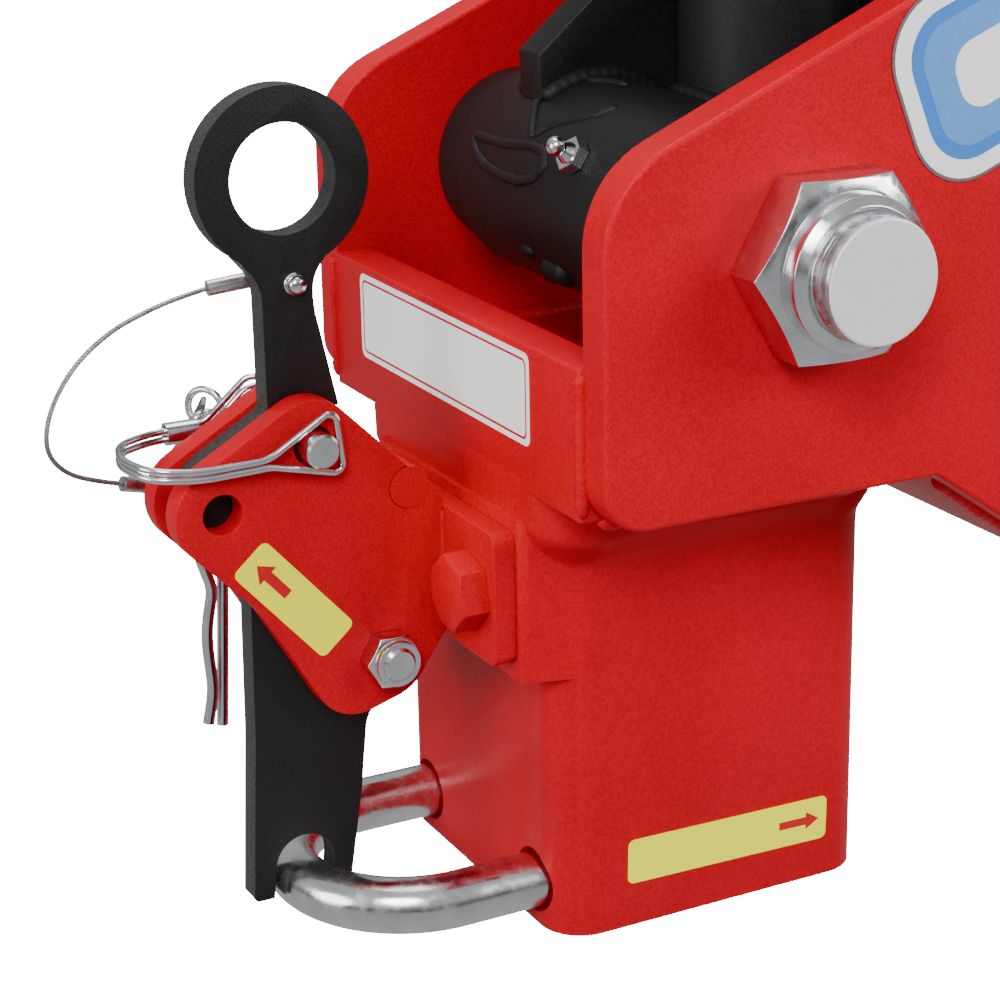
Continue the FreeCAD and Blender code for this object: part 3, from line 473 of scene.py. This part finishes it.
EASED = {
    "front_cross_plate": 1.0, "floor_plate": 0.8, "slope_plate": 0.8, "rear_seat_plate": 0.8,
    "rear_cross_plate": 0.8, "bracket_base_plate": 1.1, "near_bracket_plate": 1.0,
    "far_bracket_plate": 1.0, "lever_handle": 0.55, "far_arm_gusset": 0.8, "near_arm_gusset": 0.8,
    "arm_top_flange": 0.8, "arm_bag_plate": 0.8, "bracket_bolts": 0.5, "pivot_tube": 1.6,
    "thrust_washers": 1.2, "pivot_locknut": 0.6, "lever_pivot_nut": 0.4, "coupler_block": 0.9,
}
for name, width in EASED.items():
    eased(name, width)
for name in nodes:
    if name not in EASED:
        for poly in nodes[name].data.polygons:
            poly.use_smooth = True
        mark_sharp(nodes[name].data, CREASE)


# ------------------------------------------------------------------ weld beads
def bead(name, points, radius, body, material, slot, step=1.0, ripple=0.06, pitch=3.2):
    """A laid weld: a low ridge with the ripples of the puddle and uneven toes."""
    line = even([mm(*p) for p in points], step * MM)
    drift = [random.uniform(0.9, 1.1) for _ in range(len(line) // 5 + 3)]

    def size(i, angle):
        wave = 1 + ripple * math.sin(2 * math.pi * i * step / pitch + 0.6 * math.sin(angle))
        slow = drift[i // 5] * (1 - (i % 5) / 5) + drift[i // 5 + 1] * (i % 5) / 5
        end = min(1.0, 0.35 + 0.3 * min(i, len(line) - 1 - i))
        return radius * MM * wave * slow * end

    bm = bmesh.new()
    add_tube(bm, line, size, 10)
    piece = new_object(name, bm, material)
    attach(piece, body)


red = ("coupler", RED, "red_powder_coat")
for tag, s in (("near", -1), ("far", 1)):
    bead("weld_front_%s" % tag, [(-57.2, s * 76.4, 106), (-57.2, s * 76.4, 143)], 1.9, *red)
    bead("weld_front_in_%s" % tag, [(-45.0, s * 76.0, 118), (-45.0, s * 76.0, 143)], 2.4, *red)
    bead("weld_floor_%s" % tag, [(-43.0, s * 75.9, 116.2), (54.0, s * 75.9, 116.2)], 3.0, *red)
    bead("weld_neck_%s" % tag, [(-48.0, s * 62.4, 103.0), (42.0, s * 62.4, 103.0)], 1.9, *red)
    bead("weld_under_%s" % tag, [(-52.0, s * 75.4, 103.3), (44.0, s * 75.4, 103.3)], 2.6, *red)
    bead("weld_slope_%s" % tag, [(52.6, s * 75.6, 98.0), (110.0, s * 75.6, 57.8)], 2.6, *red)
    bead("weld_bracket_%s" % tag, [(-65.9, s * 12.6, 58.0), (-65.9, s * 12.6, 90.5)], 0.9, *red)
    bead("weld_seat_%s" % tag, [(120.0, s * 75.9, 70.3), (248.0, s * 75.9, 70.3)], 2.8, *red)
bead("weld_floor_front", [(-45.0, -74, 116.4), (-45.0, 74, 116.4)], 2.6, *red)

black = ("arm", ARM_BLACK, "black_arm_coat")
tube_x, tube_z, tube_r = 4.9, 167.2, 31.0


def on_tube(y, degrees, reach):
    """A point at that height over the arm tube's surface, in millimetres."""
    angle = math.radians(degrees)
    return (tube_x + (tube_r + reach) * math.cos(angle), y, tube_z + (tube_r + reach) * math.sin(angle))


def round_tube(first, last, y):
    return [on_tube(y, first + (last - first) * i / 24, 0.4) for i in range(25)]


PATCHES = {
    "tube_patch_upper": [(17, 147), (22, 137), (27, 128), (30, 117), (30, 107), (24, 98), (15, 92), (8, 90)],
    "tube_patch_side": [(17, 146), (12, 137), (4, 130), (-5, 122), (-8, 113)],
    "tube_patch_lower": [(49, 154), (41, 154), (32, 154), (23, 152), (14, 150), (7, 151), (4, 158), (8, 166),
                         (17, 170), (28, 170), (38, 168), (45, 163), (49, 156)],
}
for name, route in PATCHES.items():
    bead(name, [on_tube(y, degrees, -0.5) for y, degrees in route], 1.7, *black, ripple=0.025, pitch=6.0)
bead("tube_drip", [on_tube(-1, -141, -1.2), on_tube(11, -141, -1.2)], 4.4, *black, ripple=0.0)
bead("tube_drip_small", [on_tube(14, -150, -1.0), on_tube(22, -150, -1.0)], 2.6, *black, ripple=0.0)
bead("weld_gusset_in", round_tube(-8, 124, 25.0), 3.0, *black)
bead("weld_gusset_out", round_tube(-8, 124, 38.6), 3.0, *black)
stem = []
for i in range(49):
    angle = 2 * math.pi * i / 48
    x, y = 46 + 25.9 * math.cos(angle), 25.9 * math.sin(angle)
    reach = tube_r ** 2 - (x - tube_x) ** 2
    if reach > 0:
        z = tube_z + math.sqrt(reach)
        stem.append((x, y, max(z, 176.0) + 0.8))
stem = [point for point in stem if point[0] < 34]
stem.sort(key=lambda point: math.atan2(point[1], 46 - point[0]))
bead("weld_stem", stem, 3.2, *black)
for s in (-1, 1):
    bead("weld_gusset_bag_%d" % (s + 2), [(140, s * 24.8, 219.0), (258, s * 24.8, 219.0)], 2.4, *black)
    bead("weld_gusset_top_%d" % (s + 2), [(68, s * 24.8, 289.6), (116, s * 24.8, 289.6)], 2.2, *black)


# ------------------------------------------------------------------ printed decals
def panel(name, outline, origin, across, up, material, body, lift=0.12, thick=0.10):
    """A thin printed shape: outline in millimetres on the plane of across and up, lifted off the face."""
    across, up = Vector(across).normalized(), Vector(up).normalized()
    normal = across.cross(up).normalized()
    base = mm(*origin) + normal * lift * MM
    bm = bmesh.new()
    low = [bm.verts.new(base + across * u * MM + up * v * MM) for u, v in outline]
    face = bm.faces.new(low)
    made = bmesh.ops.extrude_face_region(bm, geom=[face])
    for vertex in [g for g in made["geom"] if isinstance(g, bmesh.types.BMVert)]:
        vertex.co += normal * thick * MM
    piece = new_object(name, bm, material, smooth=False)
    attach(piece, body)


def round_box(x0, y0, x1, y1, r, steps=6):
    out = []
    for cx, cy, start in ((x1 - r, y1 - r, 0), (x0 + r, y1 - r, 90), (x0 + r, y0 + r, 180), (x1 - r, y0 + r, 270)):
        for i in range(steps + 1):
            a = math.radians(start + 90 * i / steps)
            out.append((cx + r * math.cos(a), cy + r * math.sin(a)))
    return out


def outline_ring(name, outer, inner, origin, across, up, material, body, lift):
    """A printed line between two outlines with as many points each."""
    across, up = Vector(across).normalized(), Vector(up).normalized()
    normal = across.cross(up).normalized()
    base = mm(*origin) + normal * lift * MM
    bm = bmesh.new()
    a = [bm.verts.new(base + across * u * MM + up * v * MM) for u, v in outer]
    b = [bm.verts.new(base + across * u * MM + up * v * MM) for u, v in inner]
    for i in range(len(a)):
        j = (i + 1) % len(a)
        bm.faces.new((a[i], a[j], b[j], b[i]))
    piece = new_object(name, bm, material, smooth=False)
    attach(piece, body)


def arrow(length, width, head):
    return [(0, 0), (head, width), (head, width * 0.45), (length, width * 0.45), (length, -width * 0.45),
            (head, -width * 0.45), (head, -width)]


# White label on the front cross plate: a red rule round a blank field.
origin, across, up = (-57.8, 0.0, 129.8), (0, -1, 0), (0, 0, 1)
box = (-56, -12.6, 50, 12.6)
panel("label_field", round_box(*box, 2.5), origin, across, up, WHITE_INK, "coupler")
outer = round_box(box[0] + 1.6, box[1] + 1.6, box[2] - 1.6, box[3] - 1.6, 2.0)
inner = round_box(box[0] + 2.3, box[1] + 2.3, box[2] - 2.3, box[3] - 2.3, 1.5)
outline_ring("label_rule", outer, inner, origin, across, up, RED_INK, "coupler", lift=0.26)

# Yellow arrow decals on the near bracket plate and on the block's near face.
decal_centre = (-110.6, -12.5, 72.8)
slant = Vector((-118.3 + 93.4, 0, 90.9 - 62.6)).normalized()
long_way = -slant
short_way = Vector((0, -1, 0)).cross(long_way)
panel("bracket_decal", round_box(-18.9, -6.4, 18.9, 6.4, 2.0), decal_centre, long_way, short_way, YELLOW_INK,
      "coupler")
shape = [(u - 15.6, v) for u, v in arrow(13.0, 3.3, 4.6)]
panel("bracket_decal_arrow", shape, decal_centre, long_way, short_way, RED_INK, "coupler",
      lift=0.26, thick=0.02)
block_centre = (3.5, -50.8, -9.4)
panel("block_decal", round_box(-33.2, -6.7, 33.2, 6.7, 2.0), block_centre, (1, 0, -0.02), (0.02, 0, 1),
      YELLOW_INK, "coupler")
shape = [(30.5 - u, v) for u, v in arrow(13.5, 2.7, 4.4)]
panel("block_decal_arrow", shape, block_centre, (1, 0, -0.02), (0.02, 0, 1), RED_INK, "coupler",
      lift=0.26, thick=0.02)


# Blue sticker on the near cheek: a plain rounded badge with a pale ring, no lettering.
def badge(grow):
    return round_box(-grow, -20.5 - grow, 60 + grow, 20.5 + grow, 13 + grow * 0.8, 10)


badge_origin = (34.5, -88.95, 203.5)
badge_right, badge_up = (1, 0, 0.40), (-0.40, 0, 1)
panel("badge_edge", badge(5.4), badge_origin, badge_right, badge_up, GREY_INK, "coupler")
panel("badge_white", badge(4.6), badge_origin, badge_right, badge_up, WHITE_INK, "coupler",
      lift=0.26, thick=0.04)
panel("badge_blue", badge(0.0), badge_origin, badge_right, badge_up, BLUE_INK, "coupler",
      lift=0.34, thick=0.04)
panel("badge_pale", round_box(3.5, -17, 56.5, 17, 10, 10), badge_origin, badge_right, badge_up,
      PALE_BLUE_INK, "coupler", lift=0.42, thick=0.04)
panel("badge_middle", round_box(12, -9, 48, 9, 7, 10), badge_origin, badge_right, badge_up,
      WHITE_INK, "coupler", lift=0.50, thick=0.04)

# ------------------------------------------------------------------ cast neck
def add_neck():
    """The casting's smooth flare from the square block up to the foot of the front plate."""
    rows = [(78.0, 0.0, 0.02)]
    for i in range(15):
        part = i / 14
        rows.append((80.0 + i, part * part * (3 - 2 * part), 0.15 + 0.25 * part))
    rows += [(99.0, 1.0, 0.45), (103.4, 1.0, 0.6), (105.8, 1.0, 0.85), (108.5, 1.0, 0.6)]
    bm = bmesh.new()
    rings = []
    for z, flare, grow in rows:
        half = 50.8 + 11.2 * flare + grow
        shape = round_box(-50.8 - 6.2 * flare - grow, -half, 50.8 + 0.05, half, 12.7 + 3.3 * flare, 8)
        ring = []
        for x, y in shape:
            widest = 50.8 + grow + 11.2 * flare * min(1.0, max(0.0, (30.0 - x) / 70.0))
            ring.append(bm.verts.new(mm(x, math.copysign(min(abs(y), widest), y), z)))
        rings.append(ring)
    for one, two in zip(rings, rings[1:]):
        for k in range(len(one)):
            j = (k + 1) % len(one)
            bm.faces.new((one[k], one[j], two[j], two[k]))
    bm.faces.new(rings[0][::-1])
    bm.faces.new(rings[-1])
    neck = new_object("cast_neck", bm, CAST)
    mark_sharp(neck.data, 50)
    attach(neck, "coupler")


add_neck()

# ------------------------------------------------------------------ small turned and moulded pieces
profile = [(0, 15.0)]
for i in range(5):
    profile += [(i * 1.5 + 0.15, 15.4), (i * 1.5 + 0.75, 16.35), (i * 1.5 + 1.35, 15.4)]
profile += [(7.6, 16.0), (11.3, 16.0)]
threads = lathe("pivot_threads", profile, mm(4.9, -105.0, 167.2), (0, -1, 0), TURNED, 96)
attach(threads, "coupler")
profile = [(11.3, 16.0), (11.75, 15.6)]
for i in range(31):
    profile.append((11.75 + (0.035 if i % 2 else 0.0), 15.3 - i * 0.5))
profile.append((11.78, 0))
face = lathe("pivot_bolt_face", profile, mm(4.9, -105.0, 167.2), (0, -1, 0), FACED_PAINTED_REFLECTION, 96)
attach(face, "coupler")

profile = [(0, 3.1), (0.5, 3.2), (0.9, 2.9), (1.2, 2.3), (1.6, 2.35), (2.2, 2.55), (2.9, 2.4), (3.5, 1.9),
           (3.9, 1.1), (4.05, 0)]
stud = lathe("rivet_dome", profile, mm(-103.0, -3.95, 157.3), (0, -1, 0), ZINC, 40)
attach(stud, "lever")


def add_bellows():
    """Two-lobed rubber bellows with a moulded rib by each bead; it spans between yoke and arm."""
    low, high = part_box("air_bellows")
    bottom, top = low.z / MM, high.z / MM
    profile = []
    rows = 60
    for i in range(rows + 1):
        z = bottom + (top - bottom) * i / rows
        lobe = abs(math.sin(math.pi * (z - bottom) / (top - bottom) * 2))
        r = 50.5 + 14.5 * lobe ** 0.62
        edge = min(z - bottom, top - z)
        r = min(r, 46 + edge * 2.2)
        if 6 < edge < 9:
            r += 0.8
        profile.append((z, r))
    profile = [(bottom, 40)] + profile + [(top, 40)]
    piece = lathe("bellows_rubber", profile, mm(181, 0, 0), (0, 0, 1), RUBBER, 96)
    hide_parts("air_bellows")
    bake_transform(piece)
    ring = bpy.data.objects.new("bellows_girdle", nodes["bellows_hoop"].data.copy())
    bpy.context.scene.collection.objects.link(ring)
    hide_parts("bellows_hoop")
    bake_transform(ring)


add_bellows()


# ------------------------------------------------------------------ floor, light and air
def add_stage():
    bm = bmesh.new()
    bmesh.ops.create_grid(bm, x_segments=2, y_segments=2, size=8.0)
    floor = new_object("studio_floor", bm, smooth=False)
    floor.location = (0, 0, -0.42)
    material = Shader("studio_floor", roughness=0.8)
    tone = material.ramp(material.noise(3, 3), [(0.3, (0.93, 0.93, 0.93)), (0.7, (0.96, 0.96, 0.96))])
    material.done(tone)
    material.link(tone, material.shader.inputs["Emission Color"])
    material.shader.inputs["Emission Strength"].default_value = 22.0
    floor.data.materials.append(material.material)
    floor.visible_diffuse = False
    floor.visible_glossy = False


def add_light(name, place, target, size, power):
    data = bpy.data.lights.new(name, "AREA")
    data.shape = "DISK"
    data.size = size
    data.energy = power
    lamp = bpy.data.objects.new(name, data)
    bpy.context.scene.collection.objects.link(lamp)
    lamp.location = place
    lamp.rotation_euler = (Vector(target) - Vector(place)).to_track_quat("-Z", "Y").to_euler()


def add_air():
    world = bpy.data.worlds.new("studio_air")
    bpy.context.scene.world = world
    world.use_nodes = True
    tree = world.node_tree
    coords = tree.nodes.new("ShaderNodeTexCoord")
    split = tree.nodes.new("ShaderNodeSeparateXYZ")
    ramp = tree.nodes.new("ShaderNodeValToRGB")
    stops = [(0.0, 0.9), (0.44, 0.75), (0.50, 0.20), (0.56, 0.30), (0.66, 0.85), (1.0, 1.0)]
    while len(ramp.color_ramp.elements) < len(stops):
        ramp.color_ramp.elements.new(0.5)
    for element, (position, value) in zip(ramp.color_ramp.elements, stops):
        element.position = position
        element.color = (value, value, value * 1.01, 1)
    scale = tree.nodes.new("ShaderNodeMath")
    scale.operation = "MULTIPLY_ADD"
    scale.inputs[1].default_value = 0.5
    scale.inputs[2].default_value = 0.5
    tree.links.new(coords.outputs["Generated"], split.inputs[0])
    tree.links.new(split.outputs["Z"], scale.inputs[0])
    tree.links.new(scale.outputs[0], ramp.inputs["Fac"])
    tree.links.new(ramp.outputs["Color"], tree.nodes["Background"].inputs["Color"])
    tree.nodes["Background"].inputs["Strength"].default_value = 0.5


add_stage()
add_light("key", (-0.9, -1.3, 1.3), (0, 0, 0.05), 0.9, 24)
add_light("side", (1.1, -1.1, 0.7), (0, 0, 0.1), 0.8, 13)
add_light("left", (-1.5, -0.1, 0.45), (0, 0, 0.1), 0.8, 10)
add_light("top", (0.1, 0.3, 1.5), (0, 0, 0.1), 1.0, 10)
add_air()
